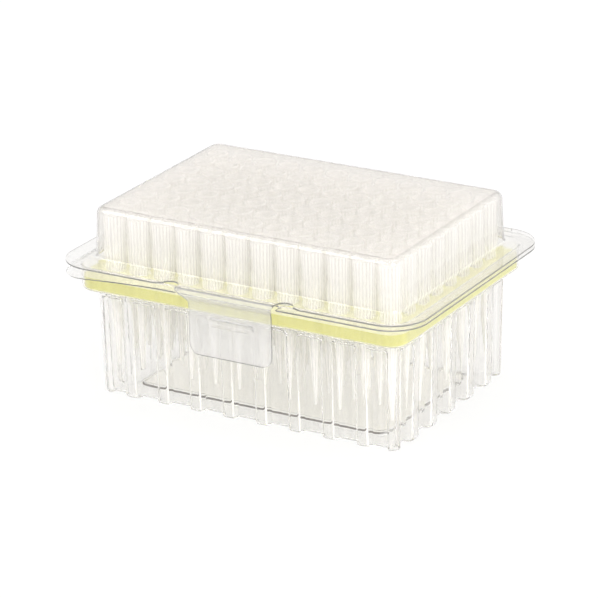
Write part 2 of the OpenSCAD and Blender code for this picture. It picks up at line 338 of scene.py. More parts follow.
def place(obj, body, slot, *nodes):
    """Rides a finished piece on its body and lets it stand for its nodes."""
    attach(obj, body)
    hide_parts(*nodes)


# ---------------------------------------------------------------- shader parts

def new_material(name):
    """A new material, its node tree and its shader."""
    material = bpy.data.materials.new(name)
    material.use_nodes = True
    tree = material.node_tree
    return material, tree, tree.nodes["Principled BSDF"]


def feed(tree, node, feeds):
    """Joins outputs to a node's inputs, or sets the inputs' own values."""
    for key, value in feeds.items():
        socket = node.inputs[key]
        if isinstance(value, bpy.types.NodeSocket):
            tree.links.new(value, socket)
        elif socket.type == "RGBA":
            socket.default_value = (*value, 1.0)
        else:
            socket.default_value = value


def add_node(tree, kind, feeds=(), **settings):
    """A new node with its settings, then what feeds its inputs by name or number."""
    node = tree.nodes.new(kind)
    for key, value in settings.items():
        setattr(node, key, value)
    feed(tree, node, dict(feeds))
    return node


def maths(tree, operation, *values, clamp=False):
    """One step of arithmetic on numbers and outputs."""
    return add_node(tree, "ShaderNodeMath", enumerate(values),
                    operation=operation, use_clamp=clamp).outputs[0]


def ranged(tree, value, low, high, to_low=0.0, to_high=1.0, eased=False):
    """Maps one range to another, and holds the value at its ends."""
    feeds = {"Value": value, "From Min": low, "From Max": high, "To Min": to_low, "To Max": to_high}
    return add_node(tree, "ShaderNodeMapRange", feeds,
                    interpolation_type="SMOOTHSTEP" if eased else "LINEAR").outputs["Result"]


def mixed(tree, factor, first, second, blend="MIX"):
    """Mixes two colours."""
    return add_node(tree, "ShaderNodeMix", {"Factor": factor, "A": first, "B": second},
                    data_type="RGBA", blend_type=blend).outputs["Result"]


def combined(tree, x, y, z):
    """A vector from three numbers or outputs."""
    return add_node(tree, "ShaderNodeCombineXYZ", enumerate((x, y, z))).outputs[0]


def separated(tree, vector):
    """The X, Y and Z outputs of a vector."""
    return add_node(tree, "ShaderNodeSeparateXYZ", {0: vector}).outputs


def coordinates(tree, kind="Object"):
    return tree.nodes.new("ShaderNodeTexCoord").outputs[kind]


def attribute(tree, name):
    return add_node(tree, "ShaderNodeAttribute", attribute_name=name).outputs["Fac"]


def turning_away(tree):
    """0 where a surface faces the viewer, and 1 at its outline."""
    return add_node(tree, "ShaderNodeLayerWeight", {"Blend": 0.5}).outputs["Facing"]


def bumped(tree, height, strength, distance):
    return add_node(tree, "ShaderNodeBump", {
        "Strength": strength, "Distance": distance, "Height": height}).outputs["Normal"]


def tinted(colour, by):
    """A colour times a number, or times three."""
    by = (by,) * 3 if isinstance(by, float) else by
    return [min(c * b, 1.0) for c, b in zip(colour, by)]


SURFACE_INPUTS = {"Scale": 60.0, "Stretch": 1.0, "Roughness": 0.1, "Spread": 0.1}


def moulded_surface_group():
    """Shared effect: faint flow marks that vary a plastic's gloss, height and tint."""
    name = "moulded_surface"
    if name in bpy.data.node_groups:
        return bpy.data.node_groups[name]
    tree = bpy.data.node_groups.new(name, "ShaderNodeTree")
    socket = tree.interface.new_socket
    for label, default in SURFACE_INPUTS.items():
        socket(label, in_out="INPUT", socket_type="NodeSocketFloat").default_value = default
    for label in ("Roughness", "Height", "Mask"):
        socket(label, in_out="OUTPUT", socket_type="NodeSocketFloat")
    inside = tree.nodes.new("NodeGroupInput").outputs
    squeeze = combined(tree, 1.0, 1.0, inside["Stretch"])
    stretched = add_node(tree, "ShaderNodeVectorMath", {0: coordinates(tree), 1: squeeze},
                        operation="MULTIPLY").outputs[0]
    noise = add_node(tree, "ShaderNodeTexNoise", {
        "Vector": stretched, "Scale": inside["Scale"], "Detail": 3.0}).outputs["Fac"]
    centred = maths(tree, "SUBTRACT", noise, 0.5)
    rough = maths(tree, "MULTIPLY_ADD", centred, inside["Spread"], inside["Roughness"], clamp=True)
    add_node(tree, "NodeGroupOutput", {"Roughness": rough, "Height": noise, "Mask": noise})
    return tree


def moulded_surface(tree, scale, stretch, roughness, spread):
    """Outputs of the shared effect; a small stretch draws the marks out upright."""
    return add_node(tree, "ShaderNodeGroup",
                    zip(SURFACE_INPUTS, (scale, stretch, roughness, spread)),
                    node_tree=moulded_surface_group()).outputs


def mottled(tree, surface, colour, darker, lighter):
    """A colour that varies with the flow marks."""
    return mixed(tree, surface["Mask"], tinted(colour, darker), tinted(colour, lighter))


def open_to_light(tree, seen, lit):
    """Alpha of a clear plastic: seen as given, but open to the light that falls through it."""
    path = tree.nodes.new("ShaderNodeLightPath").outputs
    falling = maths(tree, "MAXIMUM", path["Is Shadow Ray"], path["Is Diffuse Ray"])
    return add_node(tree, "ShaderNodeMix", {
        "Factor": falling, "A": seen, "B": lit}).outputs["Result"]


# ---------------------------------------------------------------- materials

def finish_sheet(tree, shader, colour, painted_shade, clear, rough, height, lines):
    """Clear sheet with painted shade that darkens it where it turns away, with fine drawn lines."""
    # Painted shade: towards the outline the colour is multiplied down by the given factor
    turned = ranged(tree, turning_away(tree), 0.42, 0.95, eased=True)
    plain = mixed(tree, turned, colour, tinted(colour, painted_shade))
    drawn = ranged(tree, lines, 0.3, 0.7, 0.92, 1.0)
    feed(tree, shader, {
        "Base Color": mixed(tree, 1.0, plain, drawn, "MULTIPLY"),
        "Roughness": rough, "Normal": bumped(tree, height, 0.25, 0.4 * MM),
        "IOR": 1.45, "Transmission Weight": clear, "Alpha": open_to_light(tree, 1.0, 0.08)})


def clear_sheet_material(name, colour, painted_shade, clear):
    """Clear sheet with faint waves that bend what is behind it."""
    material, tree, shader = new_material(name)
    waves = moulded_surface(tree, 55.0, 0.35, 0.03, 0.04)
    lines = moulded_surface(tree, 800.0, 0.05, 0.03, 0.04)
    height = maths(tree, "MULTIPLY_ADD", lines["Height"], 0.22, waves["Height"])
    finish_sheet(tree, shader, colour, painted_shade, clear, waves["Roughness"], height, lines["Mask"])
    return material


def hazy_sheet_material(name, colour, haze, glancing_haze, clear):
    """Clear sheet with a faint haze, which grows at a glancing angle."""
    material, tree, shader = new_material(name)
    waves = moulded_surface(tree, 160.0, 1.0, 0.03, 0.1)
    lines = moulded_surface(tree, 1100.0, 0.3, 0.03, 0.04)
    grown = ranged(tree, turning_away(tree), 0.1, 0.7, haze, glancing_haze, eased=True)
    rough = maths(tree, "ADD", grown, waves["Roughness"])
    # Painted shade towards the outline, down to 0.72 of the colour
    finish_sheet(tree, shader, colour, 0.72, clear, rough, waves["Height"], lines["Mask"])
    return material


def shaded_cut_edge_material(colour):
    """The sheet's cut edge, painted a dark grey shade so that it looks darker than its face."""
    material, tree, shader = new_material("looks_cut_edge")
    surface = moulded_surface(tree, 140.0, 1.0, 0.35, 0.3)
    feed(tree, shader, {"Base Color": mottled(tree, surface, colour, 0.8, 1.25),
                        "Roughness": surface["Roughness"], "Alpha": 0.7})
    return material


def painted_rib_highlight_material():
    """Painted highlight: white lines painted on the ribs' rounded edges, strongest at the feet."""
    material, tree, shader = new_material("looks_bright_edge")
    surface = moulded_surface(tree, 120.0, 0.3, 0.15, 0.2)
    shown = ranged(tree, surface["Mask"], 0.35, 0.65, 0.3, 0.75)
    height = separated(tree, coordinates(tree))["Z"]
    fade = ranged(tree, height, 6 * MM, 22 * MM, 1.0, 0.12, eased=True)
    feed(tree, shader, {
        "Base Color": (1.0, 0.99, 0.98), "Roughness": surface["Roughness"],
        "Alpha": open_to_light(tree, maths(tree, "MULTIPLY", shown, fade), 0.1)})
    return material


def painted_fold_shade_material(colour):
    """Painted shade along the tight fold round the floor: a thin dark line, fainter at the right
    end.
    """
    material, tree, shader = new_material("looks_fold_line")
    surface = moulded_surface(tree, 90.0, 1.0, 0.3, 0.2)
    behind = tree.nodes.new("ShaderNodeNewGeometry").outputs["Backfacing"]
    across = separated(tree, coordinates(tree))["X"]
    fade = ranged(tree, across, 0.66 * FLANGE_HALF.x, 0.72 * FLANGE_HALF.x, 0.86, 0.25, eased=True)
    feed(tree, shader, {
        "Base Color": mottled(tree, surface, colour, 0.6, 1.6),
        "Roughness": surface["Roughness"],
        "Alpha": maths(tree, "MULTIPLY", maths(tree, "SUBTRACT", 1.0, behind), fade)})
    return material


def tip_material(colour, edge_shade_colour, deck_colour):
    """Natural translucent plastic with painted highlight streaks along the tip, and painted shade
    on its sides where they turn away.

    The mesh carries three attributes: streak for the painted pale highlight lines, groove for
    painted shade in the dips between the fins, and near_deck for the deck's yellow colour,
    painted into the plastic as light.
    """
    material, tree, shader = new_material("looks_tip_plastic")
    surface = moulded_surface(tree, 300.0, 0.12, 0.14, 0.08)
    away, streak, groove = turning_away(tree), attribute(tree, "streak"), attribute(tree, "groove")
    turned = ranged(tree, away, 0.25, 0.95)
    # Painted shade grows at the outline and in the grooves, held back by the painted highlight
    # streaks
    outline_shade = maths(tree, "MULTIPLY_ADD", streak, -0.5, turned, clamp=True)
    painted_shade = maths(tree, "MULTIPLY_ADD", groove, 0.9, outline_shade, clamp=True)
    plain = mixed(tree, painted_shade, colour, edge_shade_colour)
    # Painted light: the deck's yellow, mixed in near the deck where the sides turn away
    held = maths(tree, "MULTIPLY", attribute(tree, "near_deck"), 0.9)
    deck_lit = mixed(tree, maths(tree, "MULTIPLY", held, turned), plain,
                   [0.4 * c + 0.58 for c in deck_colour])
    outline = ranged(tree, away, 0.0, 1.0, 0.07, 0.3)
    highlighted = maths(tree, "MULTIPLY_ADD", streak, 0.64, outline, clamp=True)
    seen = maths(tree, "MULTIPLY_ADD", groove, 0.15, highlighted, clamp=True)
    feed(tree, shader, {
        "Base Color": deck_lit, "Roughness": surface["Roughness"], "IOR": 1.5,
        "Normal": bumped(tree, surface["Height"], 0.3, 0.3 * MM),
        "Alpha": open_to_light(tree, seen, 0.2)})
    return material


def deck_material(colour):
    """Moulded lime-yellow plastic with a faint satin grain; painted light makes the faces that look
    up paler.
    """
    material, tree, shader = new_material("looks_deck_plastic")
    surface = moulded_surface(tree, 90.0, 1.0, 0.38, 0.2)
    grain = moulded_surface(tree, 2600.0, 1.0, 0.38, 0.2)
    normal = tree.nodes.new("ShaderNodeNewGeometry").outputs["True Normal"]
    # Painted light: faces that look up are mixed up to 0.4 of the way to a pale cream
    upward = ranged(tree, separated(tree, normal)["Z"], 0.5, 1.0, 0.0, 0.4)
    plain = mottled(tree, surface, colour, 0.94, 1.06)
    feed(tree, shader, {
        "Base Color": mixed(tree, upward, plain, (0.95, 0.94, 0.85)),
        "Roughness": surface["Roughness"],
        "Normal": bumped(tree, grain["Height"], 0.15, 0.1 * MM)})
    return material


def shell_materials(s):
    """The clear sheet and its cut edge with painted shade, which the tray, the lid and the tab
    share.
    """
    made = bpy.data.materials
    sheet = made.get("looks_clear_sheet") or clear_sheet_material(
        "looks_clear_sheet", s.colour, 0.95, 0.96)
    return sheet, made.get("looks_cut_edge") or shaded_cut_edge_material(s.edge_shade_colour)


# ---------------------------------------------------------------- tray

SHEET, CUT_EDGE_SHADE, FOLD_SHADE, RIB_HIGHLIGHT, PANEL = range(5)  # the tray's material slots

# Distances from a rib's middle at which the plan has stations
RIB_NEAR = [d * MM for d in (0, 1.1, 1.7, 2.1, 2.45, 2.8, 3.2, 4.3, 6.01)]
# Distances from a rib's middle between which its edges carry the painted highlight
HIGHLIGHT_FROM, HIGHLIGHT_TO = 1.65 * MM, 2.15 * MM
# Degrees round a corner of the tray, and where its two flutes run out
CORNER_ANGLES = (0, 7, 12, 15, 18, 21, 29, 37, 45, 53, 61, 69, 72, 75, 78, 83, 90)
CORNER_FLUTE = (12, 20)
# Sagging floor panel: shares of its size
PANEL_SHARES = (0.15, 0.35, 0.55, 0.75, 0.9)
# Fold from the panel down to the foot: growth in millimetres, and share of the floor's height
FOLD_STEPS = ((-0.9, 1), (-0.4, 0.97), (-0.12, 0.86), (0.02, 0.5), (0.12, 0.28), (0.3, 0.08),
              (0.7, 0))
# The painted dark shade line lies on this step of the fold
FOLD_SHADE_STEP = 2  # the step where the dark line starts
WALL_STEPS = 7
# Upper ends of the flutes: rise in millimetres, and share of the flutes' depth
FLUTE_ENDS = ((-0.3, 0.9), (0, 0.55), (0.2, 0.2), (0.6, 0))
FLUTE_END_ROOM = 0.8 * MM
BAND_BEND = 0.8 * MM  # radius where the band turns into the flange
FLANGE_STEPS = 5
# Gap for the tab: shares of its corner radius at which the plan has stations
RECESS_SHARES = (0.12, 0.35, 0.65, 1)
LEAST_RECESS = 0.02 * MM
# Droop of the flange: where it starts on the left, its powers, and the slack of the rest
DROOP_START = 22 * MM
DROOP_POWER, DROOP_SPREAD = 1.6, 1.5
DROOP_PULL = 0.7  # sheet thicknesses that the drooping end draws in
SLACK, SLACK_REACH = 0.35 * MM, 30 * MM


def tray_measures(s):
    """The ledge's height, and the half sizes of the band and of the wall's top."""
    ledge_z = DECK_LOW.z - s.sheet
    band = DECK_HALF + both(s.deck_gap + s.sheet)
    return ledge_z, band, FLANGE_HALF - both(s.flange_w)


def rib_centres(number, half):
    step = 2 * half / (number + 1)
    return [i * step - half for i in range(1, number + 1)]


class TrayRings:
    """Rings of the tray's outer face, from the middle of the floor to the flange's edge."""

    def __init__(self, s):
        self.s = s
        self.ledge_z, self.band, self.wall_top = tray_measures(s)
        self.flange_z = TRAY_FLANGE_Z - s.sheet
        self.flute_top = self.ledge_z - s.flute_drop
        self.wall_foot = self.wall_top - both(s.wall_lean)
        self.straight = self.wall_top - both(s.wall_r)
        self.ribs = (rib_centres(s.ribs_long, self.wall_foot.x),
                     rib_centres(s.ribs_short, self.wall_foot.y))
        # The gap's edges are set out on the flange, and the plan on the wall
        to_wall = self.straight.x / (FLANGE_HALF - both(s.flange_r)).x
        cuts = [s.recess_half, s.recess_half - TINY]
        cuts += [s.recess_half - share * s.recess_r for share in RECESS_SHARES]
        marks = [sign * cut * to_wall for sign in (-1, 1) for cut in cuts]
        self.plan = Plan(side_places(self.straight.x, self.ribs[0], RIB_NEAR, marks),
                         side_places(self.straight.y, self.ribs[1], RIB_NEAR), CORNER_ANGLES)

    def off_rib(self, station):
        """Distance from the middle of the nearest rib of a side."""
        k, _, share = station
        x = share * self.straight[k % 2] * (1 if k < 2 else -1)
        return min(abs(x - c) for c in self.ribs[k % 2])

    def on_rib_edge(self, station):
        return not station[1] and HIGHLIGHT_FROM < self.off_rib(station) < HIGHLIGHT_TO

    def flute(self, station):
        """1 at the bottom of a flute and 0 on a rib; each corner has one wide rib."""
        _, corner, degrees = station
        if corner:
            return 1 - smooth(*CORNER_FLUTE, degrees) * smooth(*CORNER_FLUTE, 90 - degrees)
        edge = self.s.rib_w / 2
        return smooth(edge - 0.2 * MM, edge + self.s.rib_flare + 0.25 * MM, self.off_rib(station))

    def crown(self, station):
        """How far a rib's face bulges at a station."""
        if station[1]:
            return 0.0
        return self.s.rib_crown * max(0.0, 1 - (2 * self.off_rib(station) / self.s.rib_w) ** 2)

    def wall_ring(self, z, inset=0.0, flutes=1.0):
        """A ring of the fluted wall; flutes is the share of their depth."""
        s = self.s
        half = self.wall_foot.lerp(self.wall_top, z / self.ledge_z)
        r = s.wall_r - (self.wall_top.x - half.x)
        depth = s.rib_depth + s.rib_gain * (1 - min(z / self.flute_top, 1))
        return self.plan.ring(half, r, z, lambda station: inset + flutes * (
            depth * self.flute(station) - self.crown(station)))

    def band_ring(self, z, inset=0.0):
        return self.plan.ring(self.band, self.s.band_r, z, inset)

    def floor_rings(self):
        """The sagging panel and the fold round it."""
        s = self.s
        floor = self.wall_foot - Vector((s.floor_inset_x, s.floor_inset_y))
        rim = self.plan.ring(floor, s.floor_r, s.floor_raise)
        rings = [[Vector((p.x * k, p.y * k, p.z + 0.5 * s.sag * (1 - k * k))) for p in rim]
                 for k in PANEL_SHARES]
        for grow, rise in FOLD_STEPS:
            rings.append(self.plan.ring(floor + both(grow * MM), s.floor_r + grow * MM,
                                        s.floor_raise * rise))
        return rings

    def foot_rings(self):
        """The flat foot and its rounded edge."""
        s = self.s
        inset = s.foot_edge_r + s.rib_depth + s.rib_gain + 0.35 * MM
        rings = [self.plan.ring(self.wall_foot, s.wall_r - s.wall_lean, 0, inset)]
        return rings + [self.wall_ring(rise, turned)
                        for turned, rise in quarter_turn(s.foot_edge_r, 5)]

    def flute_rings(self):
        """The fluted wall, and the closed upper ends of the flutes."""
        low, high = self.s.foot_edge_r, self.flute_top - FLUTE_END_ROOM
        rings = [self.wall_ring(low + (high - low) * i / WALL_STEPS)
                 for i in range(1, WALL_STEPS + 1)]
        return rings + [self.wall_ring(self.flute_top + lift * MM, 0, depth)
                        for lift, depth in FLUTE_ENDS]

    def band_rings(self):
        """The plain wall's top, the ledge under the deck and the band round it."""
        s, ledge, flange = self.s, self.ledge_z, self.flange_z
        bend, last_bend = quarter_turn(s.bend_r, 4), quarter_turn(BAND_BEND, 4)
        rings = [self.wall_ring(ledge - s.bend_r - 0.6 * MM, 0, 0)]
        rings += [self.wall_ring(ledge - rise, -inset, 0) for inset, rise in reversed(bend)]
        rings += [self.band_ring(ledge + rise, inset) for inset, rise in bend]
        rings += [self.band_ring(z) for z in ((ledge + flange) / 2, flange - BAND_BEND - 0.4 * MM)]
        return rings + [self.band_ring(flange - rise, -inset)
                        for inset, rise in reversed(last_bend)]

    def flange_rings(self, root):
        """The flange, with the gap that the tab folds through and the droop at its left end."""
        s = self.s
        edge = self.plan.ring(FLANGE_HALF, s.flange_r, self.flange_z)
        room = max(s.recess_room - BAND_BEND, LEAST_RECESS)
        rings = []
        for t in (i / FLANGE_STEPS for i in range(1, FLANGE_STEPS + 1)):
            ring = []
            for (k, corner, _), a, b in zip(self.plan.stations, root, edge):
                p = a.lerp(b, t)
                inside = s.recess_half - abs(b.x)
                if k == 0 and not corner and inside > TINY / 2:
                    turned = max(s.recess_r - inside, 0)
                    rounding = s.recess_r - math.sqrt(s.recess_r ** 2 - turned ** 2)
                    p = Vector((b.x, a.y - (room + rounding) * t, a.z))
                left = max(0.0, (-p.x - DROOP_START) / (FLANGE_HALF.x - DROOP_START))
                p.x += s.sheet * DROOP_PULL * t * left
                p.z -= t ** DROOP_SPREAD * (s.droop * left ** DROOP_POWER
                                            + SLACK * smooth(SLACK_REACH, -SLACK_REACH, p.x))
                ring.append(p)
            rings.append(ring)
        return rings


class TIPBOX_OT_tray(bpy.types.Operator):
    """Lofts the fluted clear tray with its raised floor, band and flange"""
    bl_idname = "tipbox.tray"
    bl_label = "Build the tray"

    def execute(self, context):
        s = context.scene.tipbox_sheet
        shape = TrayRings(s)
        rings = shape.floor_rings() + shape.foot_rings()
        foot_ring = len(rings) - 3
        rings += shape.flute_rings()
        flute_ring = len(rings) - 1 - len(FLUTE_ENDS)
        rings += shape.band_rings()
        rings += shape.flange_rings(rings[-1])
        verts, faces = loft(rings, close_start=True)
        obj = mesh_object("tray_shell", verts, faces)
        # Slots after the sheet and its cut edge: the painted dark fold line, the painted rib
        # highlights, and a warmer copy of the sheet on the raised floor as painted warm light
        paint(obj, *shell_materials(s), painted_fold_shade_material(s.fold_shade_colour), painted_rib_highlight_material(),
              clear_sheet_material("looks_floor_panel", (1.0, 0.985, 0.945), 0.98, 0.93))
        n = len(shape.plan.stations)
        edges = [shape.on_rib_edge(station) for station in shape.plan.stations]
        for face in obj.data.polygons:
            ring, j = divmod(face.index, n)
            if ring <= len(PANEL_SHARES) or ring == len(rings) - 1:  # the fan comes last
                face.material_index = PANEL
            elif ring == len(PANEL_SHARES) + FOLD_SHADE_STEP:
                face.material_index = FOLD_SHADE
            # Strips on the ribs' edges up the fluted wall carry the painted highlight
            elif foot_ring < ring < flute_ring and edges[j] and edges[(j + 1) % n]:
                face.material_index = RIB_HIGHLIGHT
        thicken(obj, s.sheet)
        # The painted dark line stays on the fold's upper face only
        for face in obj.data.polygons:
            if face.material_index == FOLD_SHADE and face.normal.z <= 0:
                face.material_index = SHEET
        add_rear_fold(obj, s)
        set_sharp(obj)
        place(obj, "base", "clear_sheet", "base_tray")
        return {"FINISHED"}


def add_rear_fold(obj, s):
    """Adds the rolled fold at the rear, which the lid turns about."""
    axis_y, axis_z = joint_place("lid_hinge")
    r = TRAY_HIGH.z - axis_z
    half = FLANGE_HALF.x - s.flange_r - 3 * r
    profile = [(FLANGE_HALF.y - s.sheet, axis_z - 0.5 * MM), (axis_y - 0.8 * r, axis_z - 0.45 * MM)]
    for degrees in range(-120, 211, 30):
        a = math.radians(degrees)
        profile.append((axis_y + r * math.cos(a), axis_z + r * math.sin(a)))
    bm = bmesh.new()
    bm.from_mesh(obj.data)
    rows = [[bm.verts.new((half * share, y, z)) for y, z in profile]
            for share in (-1, -0.5, 0, 0.5, 1)]
    n = len(profile)
    for a, b in zip(rows, rows[1:]):
        for j in range(n):
            bm.faces.new((a[j], a[(j + 1) % n], b[(j + 1) % n], b[j]))
    bm.faces.new(list(reversed(rows[0])))
    bm.faces.new(rows[-1])
    bm.to_mesh(obj.data)
    bm.free()


# ---------------------------------------------------------------- lid

LID_TOP, LID_WALL_SHADE, LID_RIM_SHADE = 2, 3, 4  # the lid's material slots after the sheet and its edge
LID_FLANGE_SHARES = (0, 0.06, 0.3, 0.6, 0.85, 1)
LID_EDGE_STEPS = 7
LID_TOP_SHARES = (0.97, 0.9, 0.78, 0.6, 0.4, 0.2, 0.08)
LID_CORNER_ANGLES = [i * 7.5 for i in range(13)]
# Even stations along the lid's sides
LONG_SPREAD = [i * 6.5 * MM for i in range(-7, 8)]
SHORT_SPREAD = [i * 5.5 * MM for i in range(-5, 6)]
# Relief notches beside the tab: their place, and degrees at which the plan has stations
NOTCH_X = 20.5 * MM
NOTCH_ANGLES = (0, 20, 40, 55, 68, 76, 80)


def notched_edge(s, plan, z):
    """The edge of the lid's flange, with the notches and the lip that the tab folds from."""
    fold_y, fold_z = joint_place("latch_fold")
    lip_y = fold_y + 0.8 * (TAB_HIGH.z - fold_z)
    notch_r = s.notch_w / 2
    edge = plan.ring(FLANGE_HALF, s.flange_r, z)
    for (k, corner, _), p in zip(plan.stations, edge):
        if k == 0 and not corner:
            off = abs(abs(p.x) - NOTCH_X)
            if off < notch_r * 0.99:
                p.y += s.notch_depth - notch_r + math.sqrt(notch_r ** 2 - off * off)
            elif abs(p.x) <= TAB_HIGH.x + TINY / 2:
                p.y = lip_y
    return edge


class TIPBOX_OT_lid(bpy.types.Operator):
    """Lofts the clear lid with its domed top, flange and relief notches"""
    bl_idname = "tipbox.lid"
    bl_label = "Build the lid"

    def execute(self, context):
        s = context.scene.tipbox_sheet
        foot = FLANGE_HALF - both(s.flange_w)
        top = foot - both(s.wall_lean)
        flange_z = LID_LOW.z + s.sheet
        straight = FLANGE_HALF - both(s.flange_r)
        notch = [s.notch_w / 2 * math.sin(math.radians(a)) for a in NOTCH_ANGLES]
        marks = [sign * (NOTCH_X + t * d) for sign in (-1, 1) for d in notch for t in (-1, 1)]
        marks += [sign * (TAB_HIGH.x + d) for sign in (-1, 1) for d in (0, TINY)]
        plan = Plan(side_places(straight.x, [], [], marks + LONG_SPREAD),
                    side_places(straight.y, [], [], SHORT_SPREAD), LID_CORNER_ANGLES)

        def wall_ring(z, inset=0.0):
            half = foot.lerp(top, (z - flange_z) / (LID_HIGH.z - flange_z))
            return plan.ring(half, s.dome_r + (half.x - top.x), z, inset)

        root = wall_ring(flange_z, -s.bend_r)
        edge = notched_edge(s, plan, flange_z)
        rings = [[b.lerp(a, t) for a, b in zip(root, edge)] for t in LID_FLANGE_SHARES]
        wall_start = len(rings) + 2
        rings += [wall_ring(flange_z + rise, -inset)
                  for inset, rise in quarter_turn(s.bend_r, 4)[1:]]
        low, high = flange_z + s.bend_r, LID_HIGH.z - s.dome_edge_r
        rings += [wall_ring(low + (high - low) * i / 4) for i in range(1, 5)]
        rings += [wall_ring(LID_HIGH.z - inset, rise)
                  for inset, rise in quarter_turn(s.dome_edge_r, LID_EDGE_STEPS)[1:]]
        rim = rings[-1]
        top_start = len(rings) - 1
        for k in LID_TOP_SHARES:
            rings.append([Vector((p.x * k, p.y * k, p.z - s.sag * (1 - k) ** 0.8)) for p in rim])
        verts, faces = loft(rings, close_end=True)
        obj = mesh_object("lid_shell", verts, faces)
        paint(obj, *shell_materials(s),
              hazy_sheet_material("looks_lid_top", tinted(s.colour, (0.985, 0.966, 0.948)),
                                  0.01, 0.06, 0.9))
        # Shaded copies of the clear sheet: painted grey shade on the lid's walls, and a darker
        # painted shade on its rounded top edge
        for name, tone, painted_shade in (("looks_lid_wall", (0.945, 0.94, 0.935), 0.3),
                                    ("looks_lid_rim", (0.88, 0.87, 0.865), 0.5)):
            paint(obj, clear_sheet_material(name, tinted(s.colour, tone), painted_shade, 0.92))
        starts = ((LID_TOP, top_start), (LID_RIM_SHADE, top_start - 2), (LID_WALL_SHADE, wall_start))
        for face in obj.data.polygons:
            ring = face.index // len(plan.stations)
            face.material_index = next((slot for slot, start in starts if ring >= start), SHEET)
        thicken(obj, s.sheet)
        set_sharp(obj)
        place(obj, "lid", "clear_sheet", "lid")
        return {"FINISHED"}


# ---------------------------------------------------------------- latch tab

PANEL_OUT = 1.8 * MM  # from the band to the tab's panel
PLAIN_SIDE = [x * MM for x in (4, 6.8, 7.6, 8.3, 9.2, 12, 13.2)]  # columns beside the tab's middle
TAB_CORNER_ANGLES = (0, 20, 40, 58, 64.5, 72, 82, 90)
TAB_CURL, TAB_CURL_REACH = 0.35 * MM, 1.6 * MM  # inward curl of the lower edge
BEAD_BITE = 0.25 * MM  # how far the bead reaches under the band


def tab_line(s, t):
    """The tab's outer line as Y and Z, from the roll's top down to the lower edge."""
    fy, fz = joint_place("latch_fold")
    roll = TAB_HIGH.z - fz
    drop_z = TRAY_FLANGE_Z - s.sheet / 2
    line = [(fy + roll * math.sin(a), fz + roll * math.cos(a))
            for a in (math.radians(d) for d in (60, 30, 0, -30, -60, -90))]
    line += [(fy - roll * 0.9, fz - 0.5 * MM), (fy - s.sheet / 2, drop_z + 0.35 * MM),
             (fy - s.sheet / 2 + 0.08 * MM, drop_z)]
    face_y = -(tray_measures(s)[1].y + PANEL_OUT) - s.sheet / 2
    knee = Vector((face_y, TRAY_FLANGE_Z - t.knee_drop))
    start = Vector((fy - s.sheet / 2 + 0.25 * MM, drop_z - 0.3 * MM))
    before = knee + (start - knee).normalized() * t.bend_r
    after = knee - Vector((0, t.bend_r))
    line += [tuple(start), tuple(start.lerp(before, 0.5))]
    for u in (0, 0.25, 0.5, 0.75, 1):
        line.append(tuple(before.lerp(knee, u).lerp(knee.lerp(after, u), u)))
    low_z = TAB_LOW.z
    bead_top = DECK_LOW.z - s.sheet - t.bead_room
    bead_low = bead_top - t.bead_h
    heights = [bead_top + 2.0 * MM, bead_top + 0.6 * MM]
    heights += [bead_top - t.bead_h * i / 8 for i in range(9)]
    heights += [bead_low - 0.6 * MM, bead_low - 2.0 * MM, low_z + 7 * MM,
                low_z + t.corner_r + 0.6 * MM]
    heights += [low_z + t.corner_r * (1 - math.sin(math.radians(a))) for a in TAB_CORNER_ANGLES]
    return line + [(face_y, z) for z in heights]


def tab_half_width(t, z):
    """Half width at a height: the fold's, a taper to the knee, the panel's, round corners."""
    fold_z = joint_place("latch_fold")[1]
    knee_z = TRAY_FLANGE_Z - t.knee_drop
    if z > fold_z - 1.0 * MM:
        return TAB_HIGH.x
    if z > knee_z:
        share = min((fold_z - z) / (fold_z - knee_z), 1)
        return TAB_HIGH.x + (t.width / 2 - TAB_HIGH.x) * share
    down = max(TAB_LOW.z + t.corner_r - z, 0)
    return t.width / 2 - t.corner_r + math.sqrt(max(t.corner_r ** 2 - down ** 2, 0))


class TIPBOX_OT_tab(bpy.types.Operator):
    """Sweeps the latch tab with its fold, knee, snap bead and rounded corners"""
    bl_idname = "tipbox.tab"
    bl_label = "Build the latch tab"

    def execute(self, context):
        s = context.scene.tipbox_sheet
        t = context.scene.tipbox_tab
        span, low_z = t.width / 2, TAB_LOW.z
        columns = [-span, *(-x for x in reversed(PLAIN_SIDE)), 0, *PLAIN_SIDE, span]
        depth = PANEL_OUT - s.sheet - t.bead_room + BEAD_BITE
        bead_mid = DECK_LOW.z - s.sheet - t.bead_room - t.bead_h / 2

        def swell(size, off):
            return 1 - smooth(size / 2 - 0.9 * MM, size / 2 + 0.1 * MM, abs(off))

        line = tab_line(s, t)
        verts = []
        for y, z in line:
            curl = TAB_CURL * smooth(low_z + TAB_CURL_REACH, low_z, z)
            for x in columns:
                bead = depth * swell(t.bead_w, x) * swell(t.bead_h, z - bead_mid)
                verts.append(Vector((x * tab_half_width(t, z) / span, y + bead - curl, z)))
        n = len(columns)
        faces = [(i * n + j, (i + 1) * n + j, (i + 1) * n + j + 1, i * n + j + 1)
                 for i in range(len(line) - 1) for j in range(n - 1)]
        obj = mesh_object("tab_shell", verts, faces)
        # The tab is a hazy copy of the sheet tinted about a tenth darker, as painted shade
        paint(obj, hazy_sheet_material("looks_tab", tinted(s.colour, (0.9, 0.905, 0.92)),
                                       0.12, 0.2, 0.8), shell_materials(s)[CUT_EDGE_SHADE])
        # The tab's lower lip takes the cut edge's painted dark shade
        lip, lip_half = low_z + 0.34 * MM, span - 1.2 * MM
        for face in obj.data.polygons:
            corners = [obj.data.vertices[v].co for v in face.vertices]
            if all(c.z < lip and abs(c.x) < lip_half for c in corners):
                face.material_index = CUT_EDGE_SHADE
        thicken(obj, s.sheet)
        set_sharp(obj)
        place(obj, "latch", "clear_sheet", "latch_tab")
        return {"FINISHED"}


# ---------------------------------------------------------------- tips

